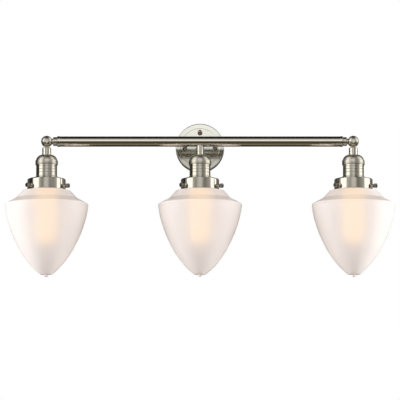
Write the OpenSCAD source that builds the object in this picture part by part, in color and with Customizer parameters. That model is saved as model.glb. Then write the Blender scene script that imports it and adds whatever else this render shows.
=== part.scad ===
// Bath bar light: a horizontal tube held off the wall by a short arm and a round backplate,
// with three sockets below it, each under a closed opal glass shade held by three thumb screws.
// The middle socket hangs from a fixed stem. The end sockets hang from ball knuckles that turn
// about the bar and swing outward. Millimetres; the origin is the middle of the backplate's
// wall face, +X is to the right, the light faces -Y and +Z is up.

/* [Bar] */
// Outer diameter of the horizontal bar
bar_d = 22.2; // [17:0.1:26]
// Length of the bar over its end caps
bar_len = 616; // [480:1:760]
// From the wall to the middle of the bar
bar_reach = 110; // [100:1:160]
// Outer diameter of the arm between the backplate and the bar
arm_d = 16; // [14:0.5:18]
// Outer diameter of the middle stem
stem_d = 14.4; // [12.5:0.1:17]
// Wall of the bar, arm and stem tubes
tube_wall = 1.5; // [1:0.1:1.6]

/* [Backplate] */
// Outer diameter of the backplate
plate_d = 106; // [104:1:140]
// How far the backplate's rim stands off the wall
plate_depth = 17.6; // [15:0.1:26]
// Diameter of the raised middle of the backplate
plate_step_d = 85; // [80:1:96]
// Height of the raised middle over the rim
plate_step_h = 1.4; // [0.8:0.1:3]
// Thickness of sheet parts: backplate, socket caps, shells and shade holders
sheet = 1.2; // [0.8:0.1:1.5]
// Distance of the ball nuts from the middle of the backplate
nut_ring_r = 33; // [28:0.5:36]
// Diameter of the ball nuts
ball_nut_d = 10.5; // [8:0.5:13]
// Spacing of the two box screw holes
box_screw_gap = 88.9; // [82:0.1:90]

/* [Knuckles] */
// Diameter of the ball of an end knuckle
ball_d = 25.4; // [22:0.1:30]
// Width of the slot through the ball
slot_w = 8.2; // [7:0.1:9]
// Diameter of the pivot screw
pivot_d = 4; // [3:0.1:5]
// Length of the ferrule between the bar and the ball
ferrule_len = 8.6; // [7:0.1:16]
// Diameter of the neck below the ball
neck_d = 19.4; // [16:0.1:22]

/* [Socket] */
// From the middle of the bar down to the top of the socket cap
cap_top = 29; // [27:0.1:45]
// Height of the cap's dome
dome_h = 12.2; // [9:0.1:16]
// Outer diameter of the cap's knurled band
band_d = 48.8; // [47:0.2:58]
// Height of the cap's knurled band
band_h = 10.3; // [8:0.1:14]
// Outer diameter of the socket shell
shell_d = 45.2; // [43:0.2:47]
// Length of the socket shell below the band
shell_len = 26.3; // [24:0.1:34]

/* [Shade holder] */
// Outer diameter of the shade holder
holder_d = 82.6; // [78:0.2:96]
// Height of the shade holder
holder_h = 27.8; // [25:0.1:34]
// Height of the thumb screws above the holder's lower edge
screw_up = 7; // [6:0.5:9]
// Directions of the thumb screws, turned from the front towards the right
screw_turns = [-52, 68, 188]; // [-180:1:360]
// Diameter of a thumb screw's head
thumb_d = 9.6; // [8:0.2:12]
// Length of a thumb screw's head
thumb_len = 7.2; // [6:0.1:11]

/* [Glass shade] */
// Diameter of the shade at its rim
shade_d = 180; // [168:1:200]
// Thickness of the glass
glass = 3; // [2.5:0.1:4]
// From the holder's lower edge down to the rim
rim_drop = 36; // [34:1:44]
// From the rim down to the flat end of the shade
bowl_h = 146; // [130:1:176]
// Length of the small tip under the shade
tip_len = 6; // [4:0.5:9]

/* [Lamp] */
// Diameter of the lamp's bulb
lamp_d = 46; // [38:1:60]
// Length of the lamp from its contact to its end
lamp_len = 162; // [110:1:170]

/* [Fits] */
// Radial clearance of a shaft in its hole
run_gap = 0.05; // [0.02:0.01:0.1]
// Gap between faces that move past each other
face_gap = 0.3; // [0.2:0.05:0.5]

/* [Hidden] */
$fn = 72;
spin = $fn * 2;
eps = 0.01;
nickel = [0.73, 0.71, 0.66];
steel = [0.62, 0.63, 0.64];
brass = [0.80, 0.66, 0.36];
opal = [0.97, 0.93, 0.87];
ceramic = [0.93, 0.92, 0.88];
copper = [0.25, 0.25, 0.27];

// Bar, arm and stem
bar_r = bar_d / 2;
end_ring_w = 5.8;
end_ring_r = bar_r + 0.5;
end_lip = 1.5;
plug_len = 14;
bar_tube_len = bar_len - 2 * end_lip;
lead_r = 1.4;
lead_hole_r = 4;
arm_collar_r = arm_d / 2 + 1.5;
arm_collar_h = 3;
nipple_r = 5;
nipple_bore = 3.5;
nipple_back = 7;
nipple_grip = 26;
locknut_r = 9;
locknut_h = 4;

// Backplate
plate_face = plate_depth + plate_step_h;
plate_edge_r = 2;
bracket_t = 2;
strap_w = 20;
strap_margin = 2.5;
stud_r = 2;
stud_grip = 5;
nut_foot_r = 3.6;
nut_foot_h = 2;
box_hole_r = 2.4;
ground_z = -20;
ground_head = [4, 2.2];
ground_r = 1.6;
nut_places = [["right", 0], ["top", 90], ["left", 180], ["bottom", 270]];

// Knuckles, measured from the middle of the ball with the bar towards -X
ball_r = ball_d / 2;
throat_len = 1;
throat_r = 6.2;
ferrule_r = bar_r - 1.6;
ball_to_bar = ball_r + throat_len + ferrule_len + face_gap;
head_x = bar_len / 2 + ball_to_bar;
tongue_r = ball_r - 2.5;
tongue_t = slot_w - 2 * 0.2;
tongue_w = 10;
slot_back = tongue_r + 0.4;
pivot_r = pivot_d / 2;
pivot_head = [pivot_r + 2.7, 1.7];
pivot_seat = ball_r - 2.5;
pivot_seat_r = pivot_head[0] + 0.25;
pivot_nut_h = 1.8;
slot_cut = [1.1, 1];
spigot_r = 5;
spigot_bore = 2.6;
spigot_nut = [7.2, 3.5];
spigot_len = plug_len + spigot_nut[1] + face_gap;
neck_top = ball_r + 0.8;
neck_round = 1.5;
groove_z = 22.4;
groove = [0.8, 1.2];

// Socket, as depths below the bar
cap_hole_r = nipple_r + run_gap;
nipple_down = 6;
band_top = cap_top + dome_h;
band_bottom = band_top + band_h;
shell_r = shell_d / 2;
shell_lip = [1.2, 2];
shell_bottom = band_bottom + shell_len;
skirt_r = shell_r - 2.2;
skirt_len = 9;
skirt_bottom = shell_bottom + skirt_len;
shell_rings = [4, 10, 16.6];
ring_cut = 0.5;
insulator_r = skirt_r - sheet - 0.2;
insulator_top = band_bottom + 0.5;
insulator_floor = 9.5;
screw_shell_r = 14;
screw_shell_t = 0.6;
contact_top = insulator_top + insulator_floor;

// Shade holder
holder_r = holder_d / 2;
holder_top = shell_bottom;
holder_bottom = holder_top + holder_h;
holder_slope = 3.8;
holder_round = 3;
holder_in = holder_r - sheet;
screw_z = holder_bottom - screw_up;
boss = [4, 3.2];
thumb_r = 2;
thumb_neck = 5;
thumb_flutes = 16;

// Glass shade
fitter_r = holder_in - 1.1;
fitter_lip_r = holder_in - 0.4;
fitter_top = holder_top + holder_slope + sheet + 2.6;
fitter_lip_h = 3;
shoulder_z = holder_bottom + 1.7;
shoulder_r = holder_r + 11.4;
rim_r = shade_d / 2;
rim_z = holder_bottom + rim_drop;
crease_r = shoulder_r + 14;
crease_z = rim_z - 17.5;
bowl_end_z = rim_z + bowl_h;
bowl_end_r = 14;
bead = 0.6;
bead_h = 4.5;
bowl_steps = 26;
tip_r = 4.5;

// Lamp
lamp_top = contact_top + screw_shell_t + 0.3;
lamp_base_r = screw_shell_r - screw_shell_t - 0.3;
lamp_base_len = 25;
lamp_r = lamp_d / 2;
lamp_neck_z = lamp_top + lamp_base_len;
lamp_mid_z = lamp_top + lamp_len - lamp_r;
lamp_glass = 1;
thread_pitch = 3.6;

heads = [["left", -1], ["middle", 0], ["right", 1]];
knuckles = [["left", -1], ["right", 1]];
screw_names = ["a", "b", "c"];
head_kinds = ["socket_cap", "socket_shell", "insulator", "lamp_contacts", "shade_holder",
    "shade_glass", "lamp_base", "lamp_bulb"];
knuckle_kinds = ["bar_end", "swivel_fork", "swivel_nut", "pivot_screw", "pivot_nut", "neck"];

// Points from a to d along a cubic curve whose ends point at b and c
function curve(a, b, c, d, n) = [for (i = [0:n]) let (t = i / n, u = 1 - t)
    u * u * u * a + 3 * u * u * t * b + 3 * u * t * t * c + t * t * t * d];
// Points along an arc round c from angle a0 to a1
function arc(c, r, a0, a1, n) = [for (i = [0:n]) let (a = a0 + (a1 - a0) * i / n)
    c + r * [cos(a), sin(a)]];
function unit(v) = v / norm(v);
function right_of(v) = [v[1], -v[0]];
// A line of points moved to its right by t, with mitred corners
function inset(p, t) = [for (i = [0:len(p) - 1])
    let (u = unit(i == 0 ? p[1] - p[0] : p[i] - p[i - 1]),
        w = unit(i == len(p) - 1 ? p[i] - p[i - 1] : p[i + 1] - p[i]), m = unit(u + w))
    p[i] + right_of(m) * t / (m * u)];
function backwards(p) = [for (i = [len(p) - 1:-1:0]) p[i]];

// A profile of radius and depth, turned about the vertical axis
module turned(points) rotate_extrude($fn = spin) polygon(points);
// Children drawn upwards along +Z now point away from the wall, starting on it
module off_wall() rotate([90, 0, 0]) children();
module along_x() rotate([0, 90, 0]) children();
module ring(outer, inner, h) difference() {
    cylinder(r = outer, h = h);
    translate([0, 0, -eps]) cylinder(r = inner, h = h + 2 * eps);
}
module at_head(side) translate([side * head_x, -bar_reach, 0]) children();
module at_knuckle(side) at_head(side)
    if (side < 0) mirror([1, 0, 0]) children();
    else children();
module at_bar_end(side) at_knuckle(side) translate([-ball_to_bar, 0, 0]) children();
module at_nut(angle) rotate([0, -angle, 0]) translate([nut_ring_r, 0, 0]) children();

// Hollow spun canopy with a raised middle
module backplate() color(nickel) off_wall() difference() {
    rotate_extrude($fn = spin) polygon(concat(
        [[0, plate_depth + plate_step_h - sheet], [0, plate_face],
            [plate_step_d / 2 - plate_step_h / 2, plate_face],
            [plate_step_d / 2, plate_face - plate_step_h / 2], [plate_step_d / 2, plate_depth]],
        backwards(arc([plate_d / 2 - plate_edge_r, plate_depth - plate_edge_r],
            plate_edge_r, 0, 90, 8)),
        [[plate_d / 2, 0], [plate_d / 2 - sheet, 0],
            [plate_d / 2 - sheet, plate_depth - plate_edge_r],
            [plate_d / 2 - plate_edge_r, plate_depth - sheet],
            [plate_step_d / 2 - sheet, plate_depth - sheet],
            [plate_step_d / 2 - sheet, plate_face - sheet]]));
    cylinder(r = nipple_r + run_gap, h = plate_face + 1);
    for (p = nut_places) rotate([0, 0, p[1]]) translate([nut_ring_r, 0, 0])
        cylinder(r = stud_r + run_gap, h = plate_face + 1);
}

// Crossed steel straps against the wall box, with four studs for the ball nuts
module mounting_bracket() color(steel) off_wall() {
    long = plate_d - 2 * sheet - 2 * strap_margin - 1;
    difference() {
        for (turn = [0, 90]) rotate([0, 0, turn]) translate([-long / 2, -strap_w / 2, 0])
            cube([long, strap_w, bracket_t]);
        translate([0, 0, -1]) cylinder(r = nipple_r + 3, h = bracket_t + 2);
        for (s = [-1, 1]) translate([s * box_screw_gap / 2, 0, -1])
            cylinder(r = box_hole_r, h = bracket_t + 2);
        translate([0, ground_z, -1]) cylinder(r = ground_r + run_gap, h = bracket_t + 2);
    }
    for (p = nut_places) rotate([0, 0, p[1]]) translate([nut_ring_r, 0, bracket_t / 2])
        cylinder(r = stud_r, h = plate_face + stud_grip - bracket_t / 2);
}

module ground_screw() color([0.30, 0.55, 0.30]) off_wall() translate([0, ground_z, 0])
    difference() {
        union() {
            cylinder(r = ground_r, h = bracket_t + eps);
            translate([0, 0, bracket_t]) cylinder(r = ground_head[0], h = ground_head[1]);
        }
        translate([-ground_head[0], -slot_cut[0] / 2, bracket_t + ground_head[1] - slot_cut[1]])
            cube([2 * ground_head[0], slot_cut[0], slot_cut[1] + 1]);
    }

module ball_nut(angle) color(nickel) at_nut(angle) off_wall() translate([0, 0, plate_face])
    difference() {
        r = ball_nut_d / 2;
        union() {
            cylinder(r = nut_foot_r, h = nut_foot_h + 1);
            translate([0, 0, nut_foot_h + r - 1]) sphere(r = r);
        }
        translate([0, 0, -eps]) cylinder(r = stud_r + run_gap, h = stud_grip + 0.5);
    }

// Hollow threaded rod that clamps the arm to the backplate
module arm_nipple() color(brass) off_wall() translate([0, 0, nipple_back])
    ring(nipple_r, nipple_bore, nipple_grip);

module arm_locknut() color(brass) off_wall()
    translate([0, 0, plate_face - sheet - locknut_h]) difference() {
        cylinder(r = locknut_r, h = locknut_h, $fn = 6);
        translate([0, 0, -1]) cylinder(r = nipple_r + run_gap, h = locknut_h + 2);
    }

module arm_collar() color(nickel) off_wall() translate([0, 0, plate_face])
    rotate_extrude($fn = spin) polygon(concat(
        [[nipple_r + run_gap, 0], [arm_collar_r, 0]],
        arc([arm_collar_r - 1, arm_collar_h - 1], 1, 0, 90, 5),
        [[nipple_r + run_gap, arm_collar_h]]));

module arm_tube() color(nickel) off_wall() {
    start = plate_face + arm_collar_h;
    difference() {
        translate([0, 0, start]) cylinder(r = arm_d / 2, h = bar_reach - start);
        translate([0, 0, start - 1]) cylinder(r = nipple_r + run_gap, h = bar_reach - start);
        translate([0, 0, bar_reach]) {
            rotate([0, 90, 0]) cylinder(r = bar_r + run_gap, h = 3 * arm_d, center = true);
            rotate([90, 0, 0]) cylinder(r = stem_d / 2 + run_gap, h = arm_d);
        }
    }
}

module bar_tube() color(nickel) translate([0, -bar_reach, 0]) difference() {
    along_x() cylinder(r = bar_r, h = bar_tube_len, center = true);
    along_x() cylinder(r = bar_r - tube_wall, h = bar_tube_len + 2, center = true);
    rotate([-90, 0, 0]) cylinder(r = lead_hole_r, h = bar_d);
    rotate([180, 0, 0]) cylinder(r = lead_hole_r, h = bar_d);
}

// Cap pressed on the end of the bar, with the bearing of the swivel in its plug
module bar_end(side) color(nickel) at_bar_end(side) along_x() difference() {
    union() {
        rotate_extrude($fn = spin) polygon(concat(
            [[0, -end_ring_w], [end_ring_r - 0.8, -end_ring_w]],
            arc([end_ring_r - 1, 0.8 - end_ring_w], 1, -50, 0, 4),
            arc([end_ring_r - 1, -1], 1, 0, 90, 5), [[0, 0]]));
        translate([0, 0, -plug_len]) cylinder(r = bar_r - tube_wall - run_gap, h = plug_len);
    }
    translate([0, 0, -end_ring_w - 1])
        ring(bar_r + run_gap, bar_r - tube_wall - run_gap, end_ring_w + 1 - end_lip);
    translate([0, 0, -plug_len - 1]) cylinder(r = spigot_r + run_gap, h = plug_len + 2);
}

// Spigot, ferrule and slotted ball, in one turned piece
module swivel_fork(side) color(nickel) at_knuckle(side) difference() {
    union() {
        sphere(r = ball_r, $fn = spin);
        translate([-ball_to_bar, 0, 0]) along_x() {
            translate([0, 0, face_gap]) rotate_extrude($fn = spin) polygon(concat(
                [[0, 0], [ferrule_r - 0.6, 0], [ferrule_r, 0.6]],
                arc([ferrule_r - 1.6, ferrule_len - 1.6], 1.6, 0, 90, 5),
                [[throat_r, ferrule_len], [throat_r, ferrule_len + throat_len + ball_r / 2],
                    [0, ferrule_len + throat_len + ball_r / 2]]));
            translate([0, 0, -spigot_len]) cylinder(r = spigot_r, h = spigot_len + 1);
        }
    }
    translate([-slot_back, -slot_w / 2, -ball_d]) cube([slot_back + ball_d, slot_w, 2 * ball_d]);
    rotate([90, 0, 0]) cylinder(r = pivot_r + run_gap, h = 2 * ball_d, center = true);
    for (s = [-1, 1]) rotate([s * 90, 0, 0]) translate([0, 0, pivot_seat])
        cylinder(r = pivot_seat_r, h = ball_r);
    translate([-ball_to_bar - spigot_len - 1, 0, 0]) along_x()
        cylinder(r = spigot_bore, h = ball_to_bar + spigot_len);
}

module swivel_nut(side) color(brass) at_bar_end(side) along_x()
    translate([0, 0, -plug_len - face_gap - spigot_nut[1]])
        ring(spigot_nut[0], spigot_r + run_gap, spigot_nut[1]);

module pivot_screw(side) color(nickel) at_knuckle(side) rotate([90, 0, 0]) difference() {
    union() {
        translate([0, 0, -pivot_seat - pivot_nut_h]) cylinder(r = pivot_r,
            h = 2 * pivot_seat + pivot_nut_h + eps);
        translate([0, 0, pivot_seat]) cylinder(r = pivot_head[0], h = pivot_head[1] - 0.5);
        translate([0, 0, pivot_seat + pivot_head[1] - 0.5])
            cylinder(r1 = pivot_head[0], r2 = pivot_head[0] - 0.6, h = 0.5);
    }
    translate([-slot_cut[0] / 2, -ball_r, pivot_seat + pivot_head[1] - slot_cut[1]])
        cube([slot_cut[0], ball_d, slot_cut[1] + 1]);
}

module pivot_nut(side) color(nickel) at_knuckle(side) rotate([-90, 0, 0])
    translate([0, 0, pivot_seat]) difference() {
        cylinder(r = pivot_head[0] - 0.1, h = pivot_nut_h, $fn = 6);
        translate([0, 0, -1]) cylinder(r = pivot_r + run_gap, h = pivot_nut_h + 2);
    }

// The turned lower end shared by the necks and the stem: a thread runs on into the cap
module neck_end(r, top) difference() {
    union() {
        turned([[0, -top - neck_round * 2], [0, -top], [r - neck_round, -top],
            [r, -top - neck_round], [r, -groove_z], [r - groove[0], -groove_z],
            [r - groove[0], -groove_z - groove[1]], [r, -groove_z - groove[1]],
            [r, -cap_top], [0, -cap_top]]);
        translate([0, 0, -cap_top - nipple_down]) cylinder(r = nipple_r, h = nipple_down + 1);
    }
    translate([0, 0, -cap_top - nipple_down - 1])
        cylinder(r = nipple_bore, h = cap_top + nipple_down + 1 - top + eps);
}

// Tongue that turns in the ball, with the neck below it
module neck(side) color(nickel) at_knuckle(side) difference() {
    union() {
        rotate([90, 0, 0]) cylinder(r = tongue_r, h = tongue_t, center = true);
        translate([-tongue_w / 2, -tongue_t / 2, -neck_top - 1])
            cube([tongue_w, tongue_t, neck_top + 1]);
        neck_end(neck_d / 2, neck_top);
    }
    rotate([90, 0, 0]) cylinder(r = pivot_r + run_gap, h = 2 * tongue_t, center = true);
    translate([0, 0, -cap_top]) cylinder(r = nipple_bore - 0.6, h = cap_top - tongue_r);
}

module middle_stem() color(nickel) at_head(0) difference() {
    union() {
        neck_end(stem_d / 2, bar_r);
        translate([0, 0, -bar_r - 2 * neck_round]) cylinder(r = stem_d / 2, h = bar_r);
    }
    along_x() cylinder(r = bar_r + run_gap, h = 3 * stem_d, center = true);
    translate([0, 0, -cap_top]) cylinder(r = nipple_bore, h = cap_top);
}

// Supply leads through the arm, along the bar and down the middle stem
module lead_wires() color(copper) translate([0, -bar_reach, 0]) {
    reach = bar_len / 2 - spigot_len - 4;
    rotate([-90, 0, 0]) cylinder(r = lead_r, h = bar_reach - nipple_back);
    along_x() cylinder(r = lead_r, h = 2 * reach, center = true);
    rotate([180, 0, 0]) cylinder(r = lead_r, h = cap_top + nipple_down + 6);
    sphere(r = lead_r);
}

// Domed cap with a knurled band
module socket_cap(side) color(nickel) at_head(side) {
    r = band_d / 2;
    top_r = neck_d / 2;
    dome = curve([top_r, -cap_top], [top_r + 5.8, -cap_top - dome_h * 0.055],
        [r - 2.9, -cap_top - dome_h * 0.34], [r - 1.2, -band_top], 10);
    shell = concat([[cap_hole_r, -cap_top]], dome);
    turned(concat(shell, arc([r - 1, -band_top - 1], 1, 90, 0, 4),
        [[r, -band_bottom + 0.4], [r - 0.4, -band_bottom], [shell_r + run_gap, -band_bottom],
            [shell_r + run_gap, -band_top - 2 * sheet]],
        backwards(inset(shell, sheet))));
}

// Socket shell with rolled rings, a lower lip and the skirt that holds the shade holder
module socket_shell(side) color(nickel) at_head(side) {
    top = band_top + 2 * sheet + 0.5;
    turned(concat(
        [[shell_r - sheet, -top], [shell_r, -top]],
        [for (z = shell_rings, p = [[0, -0.6], [ring_cut, 0], [0, 0.6]])
            [shell_r - p[0], -band_bottom - z - p[1]]],
        [[shell_r, -shell_bottom + shell_lip[1]], [shell_r + shell_lip[0], -shell_bottom
            + shell_lip[1] / 2], [shell_r + shell_lip[0], -shell_bottom],
            [skirt_r, -shell_bottom], [skirt_r, -skirt_bottom], [skirt_r - sheet, -skirt_bottom],
            [skirt_r - sheet, -shell_bottom + sheet],
            [shell_r - sheet - ring_cut, -shell_bottom + sheet],
            [shell_r - sheet - ring_cut, -band_bottom], [shell_r - sheet, -band_bottom]]));
}

module insulator(side) color(ceramic) at_head(side) difference() {
    translate([0, 0, -skirt_bottom]) cylinder(r = insulator_r, h = skirt_bottom - insulator_top);
    translate([0, 0, -skirt_bottom - 1])
        cylinder(r = screw_shell_r + run_gap, h = skirt_bottom + 1 - contact_top);
    for (s = [-1, 1]) translate([s * insulator_r / 2, 0, -contact_top - 1])
        cylinder(r = lead_r + 0.3, h = insulator_floor + 2);
}

// Brass cup that takes the lamp's thread, with the raised middle contact
module lamp_contacts(side) color(brass) at_head(side) {
    turned([[0, -contact_top], [screw_shell_r, -contact_top], [screw_shell_r, -skirt_bottom],
        [screw_shell_r - screw_shell_t, -skirt_bottom],
        [screw_shell_r - screw_shell_t, -contact_top - screw_shell_t],
        [0, -contact_top - screw_shell_t]]);
}

// Shade holder with three threaded bosses
module shade_holder(side) color(nickel) at_head(side) difference() {
    union() {
        outer = concat([[skirt_r + run_gap, -holder_top],
            [shell_r + shell_lip[0] + 0.6, -holder_top],
            [holder_r - holder_round, -holder_top - holder_slope]],
            arc([holder_r - holder_round, -holder_top - holder_slope - holder_round],
                holder_round, 75, 0, 6));
        turned(concat(outer, [[holder_r, -holder_bottom + 0.4],
            [holder_r - 0.4, -holder_bottom], [holder_in, -holder_bottom]],
            backwards(inset(outer, sheet))));
        for (a = screw_turns) rotate([0, 0, a]) translate([0, -holder_in - sheet / 2, -screw_z])
            rotate([90, 0, 0]) cylinder(r = boss[0], h = boss[1] + sheet / 2);
    }
    for (a = screw_turns) rotate([0, 0, a]) translate([0, -fitter_r, -screw_z])
        rotate([90, 0, 0]) cylinder(r = thumb_r + run_gap, h = 2 * (holder_r - fitter_r) + 9);
}

// Screw whose tip bears on the glass below the fitter's lip
module thumb_screw(side, turn) color(nickel) at_head(side) rotate([0, 0, turn])
    translate([0, -fitter_r - face_gap, -screw_z]) rotate([90, 0, 0]) difference() {
        head_at = holder_r + thumb_neck - fitter_r - face_gap;
        union() {
            cylinder(r = thumb_r, h = head_at + eps);
            translate([0, 0, head_at]) rotate_extrude($fn = spin) polygon([[0, 0],
                [thumb_d / 2 - 0.8, 0], [thumb_d / 2, 0.8], [thumb_d / 2, thumb_len - 0.8],
                [thumb_d / 2 - 0.8, thumb_len], [0, thumb_len]]);
        }
        for (i = [0:thumb_flutes - 1]) rotate([0, 0, 360 / thumb_flutes * i])
            translate([thumb_d / 2 + 0.25, 0, head_at - 1])
                cylinder(r = 0.6, h = thumb_len + 2);
    }

// Closed opal shade: fitter, sloping shoulder, ledge, rim bead, long bowl and solid tip
module shade_glass(side) color(opal) at_head(side) {
    bowl = curve([rim_r - bead, -rim_z], [rim_r + 0.8, -rim_z - bowl_h * 0.084],
        [rim_r * 0.778, -rim_z - bowl_h * 0.7], [bowl_end_r, -bowl_end_z], bowl_steps);
    upper = concat(
        arc([fitter_r + 1.5, -shoulder_z + 1.5], 1.5, 180, 265, 4),
        [[shoulder_r - 1, -shoulder_z - 0.2], [shoulder_r, -shoulder_z - 0.9],
            [crease_r, -crease_z]],
        curve([crease_r + 1, -crease_z - 0.6], [crease_r + 8, -crease_z - 4.2],
            [rim_r - 8, -crease_z - 8.6], [rim_r - 1.4, -rim_z + bead_h + 1.6], 6));
    core = concat([[fitter_r, -fitter_top]], upper, bowl);
    turned(concat(
        [[fitter_r - glass, -fitter_top], [fitter_lip_r - 0.5, -fitter_top],
            [fitter_lip_r, -fitter_top - 0.5], [fitter_lip_r, -fitter_top - fitter_lip_h],
            [fitter_r, -fitter_top - fitter_lip_h - 0.7]],
        upper,
        [[rim_r, -rim_z + bead_h], [rim_r, -rim_z + 0.4]],
        bowl,
        curve([bowl_end_r - 2, -bowl_end_z - 0.9], [tip_r + 3, -bowl_end_z - 1.6],
            [tip_r, -bowl_end_z - 1.8], [tip_r, -bowl_end_z - tip_len + 3], 4),
        curve([tip_r, -bowl_end_z - tip_len + 2.4], [tip_r, -bowl_end_z - tip_len],
            [tip_r - 2, -bowl_end_z - tip_len], [0, -bowl_end_z - tip_len], 4),
        [[0, -bowl_end_z + glass]],
        backwards([for (p = inset(core, glass)) if (p[1] < -fitter_top - eps) p])));
}

// Metal screw base of the lamp, with the thread drawn as rings
module lamp_base(side) color([0.75, 0.76, 0.78]) at_head(side) {
    ridges = floor((lamp_base_len - 8) / thread_pitch);
    turned(concat(
        [[0, -lamp_top], [4.5, -lamp_top], [5, -lamp_top - 1.2], [9.5, -lamp_top - 3.5]],
        [for (i = [0:ridges - 1], p = [[0.9, 0], [0, 0.5], [0, 0.75], [0.9, 1]])
            [lamp_base_r - p[0], -lamp_top - 5 - (i + p[1] * 0.98) * thread_pitch]],
        [[lamp_base_r - 0.9, -lamp_neck_z], [0, -lamp_neck_z]]));
}

// Frosted tubular bulb, closed at the top by its base
module lamp_bulb(side) color(opal) at_head(side) {
    neck_r = lamp_base_r - 0.4;
    shoulder_low = lamp_neck_z + lamp_r * 1.2;
    outer = concat(
        curve([neck_r, -lamp_neck_z], [neck_r + 1, -lamp_neck_z - lamp_r * 0.4],
            [lamp_r, -lamp_neck_z - lamp_r * 0.6], [lamp_r, -shoulder_low], 10),
        arc([0, -lamp_mid_z], lamp_r, 0, -84, 12));
    turned(concat(outer, [[0, -lamp_mid_z - lamp_r], [0, -lamp_mid_z - lamp_r + lamp_glass]],
        backwards([for (p = inset(outer, lamp_glass)) if (p[0] > 1) p])));
}

backplate();
mounting_bracket();
ground_screw();
arm_nipple();
arm_locknut();
arm_collar();
arm_tube();
bar_tube();
middle_stem();
lead_wires();
for (p = nut_places) ball_nut(p[1]);
for (s = knuckles) {
    bar_end(s[1]);
    swivel_fork(s[1]);
    swivel_nut(s[1]);
    pivot_screw(s[1]);
    pivot_nut(s[1]);
    neck(s[1]);
}
for (h = heads) {
    socket_cap(h[1]);
    socket_shell(h[1]);
    insulator(h[1]);
    lamp_contacts(h[1]);
    shade_holder(h[1]);
    shade_glass(h[1]);
    lamp_base(h[1]);
    lamp_bulb(h[1]);
    for (i = [0:2]) thumb_screw(h[1], screw_turns[i]);
}
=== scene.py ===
from math import cos, pi, radians, sin

import bmesh
import bpy
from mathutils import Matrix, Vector


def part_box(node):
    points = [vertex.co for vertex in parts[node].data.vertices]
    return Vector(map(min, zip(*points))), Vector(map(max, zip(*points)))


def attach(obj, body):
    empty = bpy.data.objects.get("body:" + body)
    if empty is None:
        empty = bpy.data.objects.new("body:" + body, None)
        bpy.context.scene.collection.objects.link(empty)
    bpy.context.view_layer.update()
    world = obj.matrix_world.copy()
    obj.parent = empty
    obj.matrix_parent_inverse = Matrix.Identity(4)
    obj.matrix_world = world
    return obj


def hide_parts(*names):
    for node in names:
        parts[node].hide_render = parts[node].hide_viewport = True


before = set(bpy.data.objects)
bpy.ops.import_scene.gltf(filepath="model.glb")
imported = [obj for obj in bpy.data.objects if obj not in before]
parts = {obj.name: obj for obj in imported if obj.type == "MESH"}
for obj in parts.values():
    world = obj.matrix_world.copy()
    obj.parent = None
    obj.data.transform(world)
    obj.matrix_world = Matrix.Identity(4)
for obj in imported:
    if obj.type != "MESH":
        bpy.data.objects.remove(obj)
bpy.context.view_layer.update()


# Camera. The light is seen square on from far away and a little below, so the bar hides
# the arm and the undersides of the backplate and holders just show.
view_field = 0.8612
view_distance = 8.0
view_rise = radians(7.5)
aim_below_bar = 0.1272
film_width = 36
bar_low, bar_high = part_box("bar_tube")
bar_axis = (bar_low + bar_high) / 2
aim = bar_axis - Vector((0, 0, aim_below_bar))
camera = bpy.data.objects.new("camera", bpy.data.cameras.new("camera"))
bpy.context.collection.objects.link(camera)
camera.data.sensor_width = film_width
camera.data.lens = film_width * view_distance / view_field
camera.data.clip_end = 60
camera.location = aim - view_distance * Vector((0, cos(view_rise), sin(view_rise)))
camera.rotation_euler = (pi / 2 + view_rise, 0, 0)
bpy.context.scene.camera = camera


# Studio. A white room with soft boxes left and right, a bright wall in front of the light
# and darker cloth overhead and below: polished metal mirrors these in bands.
scene = bpy.context.scene
scene.view_settings.view_transform = "Standard"
world = bpy.data.worlds.new("studio")
world.use_nodes = True
scene.world = world
tree = world.node_tree
tree.nodes.clear()


def node(tree, kind, inputs=None, **settings):
    made = tree.nodes.new(kind)
    for key, value in settings.items():
        setattr(made, key, value)
    for key, value in (inputs or {}).items():
        if isinstance(value, bpy.types.NodeSocket):
            tree.links.new(value, made.inputs[key])
        else:
            made.inputs[key].default_value = value
    return made


def ramp(tree, value, low, high, stops):
    """A smooth brightness along value, from stops of (value, colour)."""
    part = node(tree, "ShaderNodeMapRange", {0: value, 1: low, 2: high})
    made = node(tree, "ShaderNodeValToRGB", {0: part.outputs[0]})
    made.color_ramp.interpolation = "EASE"
    bar = made.color_ramp.elements
    while len(bar) < len(stops):
        bar.new(0.5)
    for stop, (place, colour) in zip(bar, stops):
        stop.position = (place - low) / (high - low)
        stop.color = (*colour, 1) if isinstance(colour, tuple) else (colour, colour, colour, 1)
    return made.outputs[0]


towards = node(tree, "ShaderNodeTexCoord").outputs["Generated"]
split = node(tree, "ShaderNodeSeparateXYZ", {0: towards})
front = node(tree, "ShaderNodeMath", {0: split.outputs[1], 1: -1.0}, operation="MULTIPLY")
turn = node(tree, "ShaderNodeMath", {0: split.outputs[0], 1: front.outputs[0]}, operation="ARCTAN2")
rise = node(tree, "ShaderNodeMath", {0: split.outputs[2]}, operation="ARCSINE")
around = ramp(tree, turn.outputs[0], -pi, pi, [(radians(a), v) for a, v in (
    (-180, 0.07), (-130, 0.04), (-108, 0.01), (-90, 0.02), (-82, 0.8), (-50, 0.8),
    (-40, 0.24), (-24, 0.15), (-4, 0.3), (5, 0.3), (24, 0.1), (49, 0.17), (64, 0.24),
    (73, 0.8), (110, 0.8), (118, 0.1), (150, 0.07), (180, 0.07))])
upward = ramp(tree, rise.outputs[0], -pi / 2, pi / 2, [(radians(a), v) for a, v in (
    (-90, (0.30, 0.25, 0.17)), (-68, (0.34, 0.28, 0.19)), (-48, (0.10, 0.085, 0.055)),
    (-20, (0.07, 0.06, 0.035)), (-2, (0.4, 0.38, 0.33)), (10, (0.85, 0.83, 0.78)),
    (26, (0.62, 0.61, 0.57)), (46, (0.6, 0.59, 0.55)), (58, (0.28, 0.27, 0.25)),
    (74, (0.03, 0.028, 0.025)), (90, (0.02, 0.018, 0.016)))])
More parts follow.
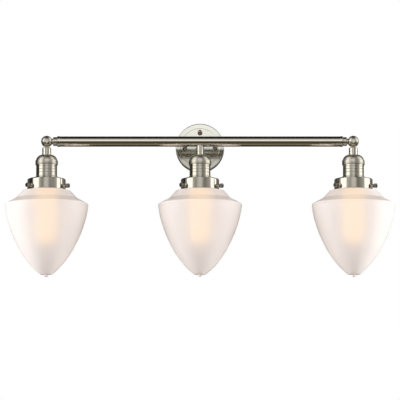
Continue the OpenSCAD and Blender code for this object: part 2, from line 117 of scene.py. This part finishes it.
studio = node(tree, "ShaderNodeMix", {0: 1.0, 6: around, 7: upward},
              data_type="RGBA", blend_type="MULTIPLY")
room_brightness = 2.6
seen = node(tree, "ShaderNodeBackground", {"Color": (1, 1, 1, 1), "Strength": 1.0})
lit = node(tree, "ShaderNodeBackground", {
    "Color": studio.outputs[2], "Strength": room_brightness})
ray = node(tree, "ShaderNodeLightPath")
both = node(tree, "ShaderNodeMixShader", {
    0: ray.outputs["Is Camera Ray"], 1: lit.outputs[0], 2: seen.outputs[0]})
node(tree, "ShaderNodeOutputWorld", {0: both.outputs[0]})

# Wide, soft lamps left and right light the sides of the glass and leave its middle to the
# bulbs' glow; weaker ones above, below and behind lift the rest of it. Only the card
# in front shows in the metal: it stands high enough to brighten the upper half of the
# backplate and the upper front of the bar, and to leave their lower halves dark.
for place, size, power, mirrored in (
        ((-6.0, -1.2, -0.3), (4.4, 4.4), 540, False), ((6.0, -1.2, -0.3), (4.4, 4.4), 540, False),
        ((0, -0.9, 2.7), (2.0, 1.6), 10, False), ((0, -1.4, -1.9), (3.0, 3.0), 24, False),
        ((0, 2.6, 1.4), (2.4, 2.4), 12, False), ((0, -1.5, 0.62), (1.3, 0.8), 2.0, True)):
    lamp = bpy.data.objects.new("soft_lamp", bpy.data.lights.new("soft_lamp", "AREA"))
    bpy.context.collection.objects.link(lamp)
    lamp.data.shape = "RECTANGLE"
    lamp.data.size, lamp.data.size_y = size
    lamp.data.energy = power
    lamp.location = place
    target = Vector((0, 0, place[2])) if mirrored else aim
    lamp.rotation_euler = (target - Vector(place)).to_track_quat("-Z", "Y").to_euler()
    lamp.visible_glossy = mirrored
    lamp.visible_camera = False
    lamp.visible_transmission = False


# Floor. A plain pale floor far below, so that the light can be looked at from underneath;
# it is seen by itself only and throws no light on the glass or into the metal.
floor_half_width = 40
floor_depth = 8.6
floor_mesh = bmesh.new()
bmesh.ops.create_grid(floor_mesh, x_segments=1, y_segments=1, size=floor_half_width)
floor = bpy.data.objects.new("floor", bpy.data.meshes.new("floor"))
floor_mesh.to_mesh(floor.data)
floor_mesh.free()
bpy.context.collection.objects.link(floor)
floor.location.z = -floor_depth
floor.visible_glossy = False
floor.visible_diffuse = False
floor.visible_transmission = False
pale = bpy.data.materials.new("pale_floor")
pale.use_nodes = True
pale_skin = pale.node_tree.nodes["Principled BSDF"]
pale_skin.inputs["Base Color"].default_value = (0.86, 0.86, 0.85, 1)
pale_skin.inputs["Roughness"].default_value = 0.7
pale_skin.inputs["Emission Color"].default_value = (1, 0.97, 0.93, 1)
pale_skin.inputs["Emission Strength"].default_value = 0.62
floor.data.materials.append(pale)


# Backplate. A canopy spun from sheet, plated with nickel and buffed nearly to a mirror, with
# a raised middle; the plating is warm and keeps faint buffing marks and finger haze.
def plated(name, colour, roughness, lines, grain=0.0, haze=0.06, round_brush=0.0):
    """Nickel plate: lines gives how tightly the brush marks run along X, Y and Z, and
    round_brush how strongly marks that run round Z stretch the highlights upright."""
    metal = bpy.data.materials.new(name)
    metal.use_nodes = True
    tree = metal.node_tree
    skin = tree.nodes["Principled BSDF"]
    skin.inputs["Metallic"].default_value = 1.0
    place = node(tree, "ShaderNodeTexCoord").outputs["Object"]
    marks_at = node(tree, "ShaderNodeMapping", {"Vector": place, "Scale": lines})
    marks = node(tree, "ShaderNodeTexNoise", {
        "Vector": marks_at.outputs[0], "Scale": 1.0, "Detail": 6.0, "Roughness": 0.7})
    clouds = node(tree, "ShaderNodeTexNoise", {"Vector": place, "Scale": 38.0, "Detail": 3.0})
    tone = node(tree, "ShaderNodeMix", {
        6: (*[c * 0.94 for c in colour], 1), 7: (*colour, 1), 0: clouds.outputs[0]},
        data_type="RGBA")
    tree.links.new(tone.outputs[2], skin.inputs["Base Color"])
    mixed = node(tree, "ShaderNodeMath", {0: marks.outputs[0], 1: clouds.outputs[0]})
    gloss = node(tree, "ShaderNodeMapRange", {
        0: mixed.outputs[0], 1: 0.5, 2: 1.5, 3: roughness - haze, 4: roughness + haze})
    tree.links.new(gloss.outputs[0], skin.inputs["Roughness"])
    if round_brush:
        skin.inputs["Anisotropic"].default_value = round_brush
        skin.inputs["Anisotropic Rotation"].default_value = 0.25
        along = node(tree, "ShaderNodeTangent", direction_type="RADIAL", axis="Z")
        tree.links.new(along.outputs[0], skin.inputs["Tangent"])
    if grain:
        bump = node(tree, "ShaderNodeBump", {
            "Height": marks.outputs[0], "Strength": 1.0, "Distance": grain})
        tree.links.new(bump.outputs[0], skin.inputs["Normal"])
    return metal


def finish(metal, *names):
    """Gives the pieces of these names a finish."""
    for name in names:
        parts[name].data.materials.clear()
        parts[name].data.materials.append(metal)


nickel = (0.76, 0.73, 0.66)
buffed = plated("buffed_nickel", (0.74, 0.74, 0.685), 0.12, (30, 30, 30), haze=0.03)
finish(buffed, "backplate", "arm_collar")


# Ball nuts. Small balls turned from brass and plated; their nickel colour is painted darker
# than the sheet parts as painted shade, for the dark reflections they show. They screw onto
# the strap's studs and hold the backplate to the wall.
nut_metal_painted_shade = plated("ball_nickel_painted_shade", (0.40, 0.36, 0.30), 0.1, (60, 60, 60))
finish(nut_metal_painted_shade, *("ball_nut_" + place for place in ("right", "top", "left", "bottom")))


# Mounting strap. Crossed zinc-plated steel straps pressed flat, screwed to the wall box
# behind the backplate; a green screw takes the earth wire.
zinc = plated("zinc_plate", (0.62, 0.64, 0.66), 0.34, (220, 220, 220), haze=0.1)
finish(zinc, "mounting_bracket")
earth_green = bpy.data.materials.new("earth_green")
earth_green.use_nodes = True
green_skin = earth_green.node_tree.nodes["Principled BSDF"]
green_skin.inputs["Metallic"].default_value = 0.7
green_skin.inputs["Roughness"].default_value = 0.4
speckle = node(earth_green.node_tree, "ShaderNodeTexNoise", {"Scale": 900.0, "Detail": 4.0})
green = node(earth_green.node_tree, "ShaderNodeMix", {
    0: speckle.outputs[0], 6: (0.05, 0.2, 0.07, 1), 7: (0.12, 0.36, 0.14, 1)}, data_type="RGBA")
earth_green.node_tree.links.new(green.outputs[2], green_skin.inputs["Base Color"])
finish(earth_green, "ground_screw")


# Arm. A hollow brass nipple and a hex locknut clamp the plated arm through the backplate;
# the supply leads run through it in dark sleeving.
brass = plated("turned_brass", (0.86, 0.66, 0.32), 0.3, (900, 900, 900), haze=0.1)
finish(brass, "arm_nipple", "arm_locknut")
drawn_y = plated("drawn_nickel_y", nickel, 0.16, (60, 1400, 60), grain=4e-6)
finish(drawn_y, "arm_tube")
sleeving = bpy.data.materials.new("sleeving")
sleeving.use_nodes = True
sleeve_skin = sleeving.node_tree.nodes["Principled BSDF"]
sleeve_skin.inputs["Roughness"].default_value = 0.55
weave = node(sleeving.node_tree, "ShaderNodeTexWave", {"Scale": 700.0, "Distortion": 1.0})
thread = node(sleeving.node_tree, "ShaderNodeMix", {
    0: weave.outputs["Fac"], 6: (0.01, 0.01, 0.012, 1), 7: (0.05, 0.05, 0.055, 1)},
    data_type="RGBA")
sleeving.node_tree.links.new(thread.outputs[2], sleeve_skin.inputs["Base Color"])
finish(sleeving, "lead_wires")


# Bar. Drawn tube, buffed along its length and plated, with a ringed cap pressed on each end;
# the arm and the middle stem are fixed into its wall.
drawn_x = plated("drawn_nickel_x", nickel, 0.1, (40, 900, 900), grain=1e-6)
finish(drawn_x, "bar_tube", "bar_end_left", "bar_end_right")


# Stem and knuckles. Turned from solid bar and plated: the stem is fixed under the bar, and
# the slotted balls turn on the bar's ends and carry the necks on a pivot screw.
turned_z = plated("turned_nickel_z", nickel, 0.15, (50, 50, 1800), grain=4e-6)
finish(turned_z, "middle_stem", "neck_left", "neck_right")
satin = plated("satin_ball_nickel", nickel, 0.3, (60, 60, 60))
for side in ("left", "right"):
    finish(satin, "swivel_fork_" + side, "pivot_screw_" + side, "pivot_nut_" + side)
    finish(brass, "swivel_nut_" + side)


# Socket caps. Spun domes over a straight-knurled band that screws down on the socket shell,
# blasted to a soft sheen and plated; each hangs from a neck or from the middle stem.
cap_metal = plated("spun_cap_nickel", nickel, 0.34, (60, 60, 60))
knurls = 90
knurl_depth = 0.0003
band_height = 0.0103
heads = {"left": "left_head", "middle": "fixture", "right": "right_head"}


def curve(a, b, c, d, n):
    """n + 1 points of radius and height from a to d, along a cubic curve pulled by b and c."""
    a, b, c, d = (Vector(p) for p in (a, b, c, d))
    return [a * (1 - t) ** 3 + b * 3 * t * (1 - t) ** 2 + c * 3 * t * t * (1 - t) + d * t ** 3
            for t in (i / n for i in range(n + 1))]


def turned(name, profile, middle, steps=144, ripple=None):
    """A mesh turned from a profile of radius and height about an upright axis in middle."""
    mesh = bmesh.new()
    rings = []
    for radius, height in profile:
        ring = []
        for i in range(steps):
            angle = 2 * pi * i / steps
            r = radius + (ripple(i, height) if ripple else 0)
            ring.append(mesh.verts.new((middle.x + r * cos(angle), middle.y + r * sin(angle),
                                        height)))
        rings.append(ring)
    for upper, lower in zip(rings, rings[1:]):
        for i in range(steps):
            j = (i + 1) % steps
            mesh.faces.new((upper[i], upper[j], lower[j], lower[i]))
    for face in mesh.faces:
        face.smooth = True
    bmesh.ops.remove_doubles(mesh, verts=mesh.verts, dist=1e-7)
    bmesh.ops.recalc_face_normals(mesh, faces=mesh.faces)
    piece = bpy.data.objects.new(name, bpy.data.meshes.new(name))
    mesh.to_mesh(piece.data)
    mesh.free()
    piece.data.set_sharp_from_angle(angle=radians(38))
    bpy.context.collection.objects.link(piece)
    return piece


for side, body in heads.items():
    low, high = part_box("socket_cap_" + side)
    middle, band_r = (low + high) / 2, (high.x - low.x) / 2
    top, bottom = high.z, low.z
    band_top = bottom + band_height
    dome = curve((0.0097, top), (0.0155, top - 0.0007), (band_r - 0.0029, top - 0.0041),
                 (band_r - 0.0012, band_top), 18)
    band = [(band_r - 0.0010, band_top), (band_r - 0.0004, band_top - 0.0003),
            (band_r - 0.0001, band_top - 0.0012), (band_r - 0.0001, bottom + 0.0012),
            (band_r - 0.0004, bottom + 0.0003), (band_r - 0.0010, bottom)]
    inside = [(0.0227, bottom), (0.0227, band_top - 0.0012), (0.006, top - 0.002),
              (0.0052, top)]

    def knurl(i, height, top=band_top, bottom=bottom):
        straight = bottom + 0.0008 < height < top - 0.0008
        return -knurl_depth * (i % 2) if straight else 0

    cap = turned("socket_cap_shown_" + side, [(0.0052, top)] + [tuple(p) for p in dome]
                 + band + inside, middle, steps=knurls * 2, ripple=knurl)
    cap.data.materials.append(cap_metal)
    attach(cap, body)
    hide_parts("socket_cap_" + side)


# Socket shells. Drawn brass tube with rolled rings and a lower lip, plated and brushed round;
# they screw into the caps and carry the shade holders.
brushed_z = plated("brushed_nickel_z", nickel, 0.2, (40, 40, 2400), grain=4e-6, round_brush=0.6)
finish(brushed_z, *("socket_shell_" + side for side in heads))


# Socket insides. A glazed porcelain body sits inside each shell and holds the pressed brass
# cup that the lamp screws into.
porcelain = bpy.data.materials.new("porcelain")
porcelain.use_nodes = True
glaze = porcelain.node_tree.nodes["Principled BSDF"]
glaze.inputs["Roughness"].default_value = 0.2
glaze.inputs["Coat Weight"].default_value = 0.5
flecks = node(porcelain.node_tree, "ShaderNodeTexNoise", {"Scale": 500.0, "Detail": 3.0})
body_tone = node(porcelain.node_tree, "ShaderNodeMix", {
    0: flecks.outputs[0], 6: (0.80, 0.78, 0.72, 1), 7: (0.9, 0.89, 0.85, 1)}, data_type="RGBA")
porcelain.node_tree.links.new(body_tone.outputs[2], glaze.inputs["Base Color"])
for side in heads:
    finish(porcelain, "insulator_" + side)
    finish(brass, "lamp_contacts_" + side)


# Shade holders and thumb screws. Spun cups with three threaded bosses, brushed round, and
# turned screws with fluted heads whose tips grip the fitter of the glass.
holder_metal = plated("brushed_holder", nickel, 0.15, (30, 30, 2200), grain=4e-6, round_brush=0.6)
# The screws' nickel colour is painted dark: painted shade that dulls the lit glass they mirror.
screw_metal_painted_shade = plated("thumb_screw_nickel_painted_shade", (0.3, 0.29, 0.26), 0.26, (300, 300, 300))
for side in heads:
    finish(holder_metal, "shade_holder_" + side)
    finish(screw_metal_painted_shade, *("thumb_screw_" + side + "_" + letter for letter in "abc"))


# Lamps. Long frosted bulbs cemented into rolled metal bases that screw into the sockets;
# they are lit, and their warm light glows through the glass.
lamp_metal = plated("lamp_base_metal", (0.75, 0.76, 0.78), 0.3, (50, 50, 900), haze=0.08)
frosted = bpy.data.materials.new("lit_frosted_bulb")
frosted.use_nodes = True
bulb_skin = frosted.node_tree.nodes["Principled BSDF"]
bulb_skin.inputs["Base Color"].default_value = (0.98, 0.92, 0.82, 1)
bulb_skin.inputs["Roughness"].default_value = 0.5
bulb_skin.inputs["Emission Color"].default_value = (1.0, 0.56, 0.13, 1)
bulb_skin.inputs["Emission Strength"].default_value = 0.78
for side in heads:
    finish(lamp_metal, "lamp_base_" + side)
    finish(frosted, "lamp_bulb_" + side)


# Shades. Mouth-blown opal glass, white in the mass and lightly glossy outside: a fitter neck
# gripped by the thumb screws, a sloping shoulder, a ledge with a bead at the rim, a long bowl
# and a small solid tip.
opal = bpy.data.materials.new("opal_glass")
opal.use_nodes = True
opal_skin = opal.node_tree.nodes["Principled BSDF"]
opal_skin.inputs["Roughness"].default_value = 1.0
opal_skin.inputs["IOR"].default_value = 1.2
opal_skin.inputs["Transmission Weight"].default_value = 0.4
opal_skin.inputs["Coat Weight"].default_value = 0.45
opal_skin.inputs["Coat Roughness"].default_value = 0.06
milk_at = node(opal.node_tree, "ShaderNodeTexCoord").outputs["Object"]
milk = node(opal.node_tree, "ShaderNodeTexNoise", {
    "Vector": milk_at, "Scale": 22.0, "Detail": 4.0, "Roughness": 0.6})
milk_tone = node(opal.node_tree, "ShaderNodeMix", {
    0: milk.outputs[0], 6: (0.95, 0.905, 0.91, 1), 7: (0.98, 0.945, 0.955, 1)},
    data_type="RGBA")
opal.node_tree.links.new(milk_tone.outputs[2], opal_skin.inputs["Base Color"])

tip_length = 0.006
bowl_height = 0.146
ledge_height = 0.0343

for side, body in heads.items():
    low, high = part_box("shade_glass_" + side)
    middle, rim_r, top, tip = (low + high) / 2, (high.x - low.x) / 2, high.z, low.z
    end = tip + tip_length
    rim = end + bowl_height
    shoulder = rim + ledge_height
    profile = [(0.0385, top), (0.0397, top - 0.0008), (0.0397, top - 0.003),
               (0.039, top - 0.004), (0.039, shoulder + 0.0016)]
    profile += curve((0.039, shoulder + 0.0016), (0.039, shoulder + 0.0003),
                     (0.0395, shoulder - 0.0001), (0.0412, shoulder - 0.0002), 6)
    profile += curve((0.0508, shoulder - 0.0003), (0.0522, shoulder - 0.0003),
                     (0.0526, shoulder - 0.0008), (0.0533, shoulder - 0.0018), 5)
    profile += curve((0.0663, rim + 0.0179), (0.0668, rim + 0.0173), (0.0671, rim + 0.0171),
                     (0.0677, rim + 0.0169), 4)
    profile += curve((0.0682, rim + 0.0167), (0.0755, rim + 0.0128), (0.0822, rim + 0.0092),
                     (0.0884, rim + 0.0061), 8)
    profile += curve((rim_r - 0.0006, rim + 0.0053), (rim_r, rim + 0.0047),
                     (rim_r, rim + 0.0040), (rim_r, rim + 0.0036), 4)
    profile += curve((rim_r, rim + 0.0012), (rim_r, rim + 0.0004), (rim_r - 0.0005, rim),
                     (rim_r - 0.0006, rim - 0.0002), 3)
    profile += curve((rim_r - 0.0006, rim - 0.0006), (rim_r + 0.0006, rim - 0.0125),
                     (0.0700, rim - 0.1022), (0.0140, end), 40)
    profile += curve((0.0136, end - 0.0002), (0.011, end - 0.0014), (0.0075, end - 0.0016),
                     (0.0056, end - 0.0018), 5)
    profile += curve((0.0050, end - 0.0021), (0.0045, end - 0.0026), (0.0045, end - 0.0034),
                     (0.0045, tip + 0.0022), 4)
    profile += curve((0.0045, tip + 0.0018), (0.0044, tip + 0.0004), (0.0030, tip),
                     (0.0001, tip), 6)
    glass = turned("opal_shade_" + side, [tuple(p) for p in profile], middle, steps=160)
    glass.data.materials.append(opal)
    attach(glass, body)
    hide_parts("shade_glass_" + side)
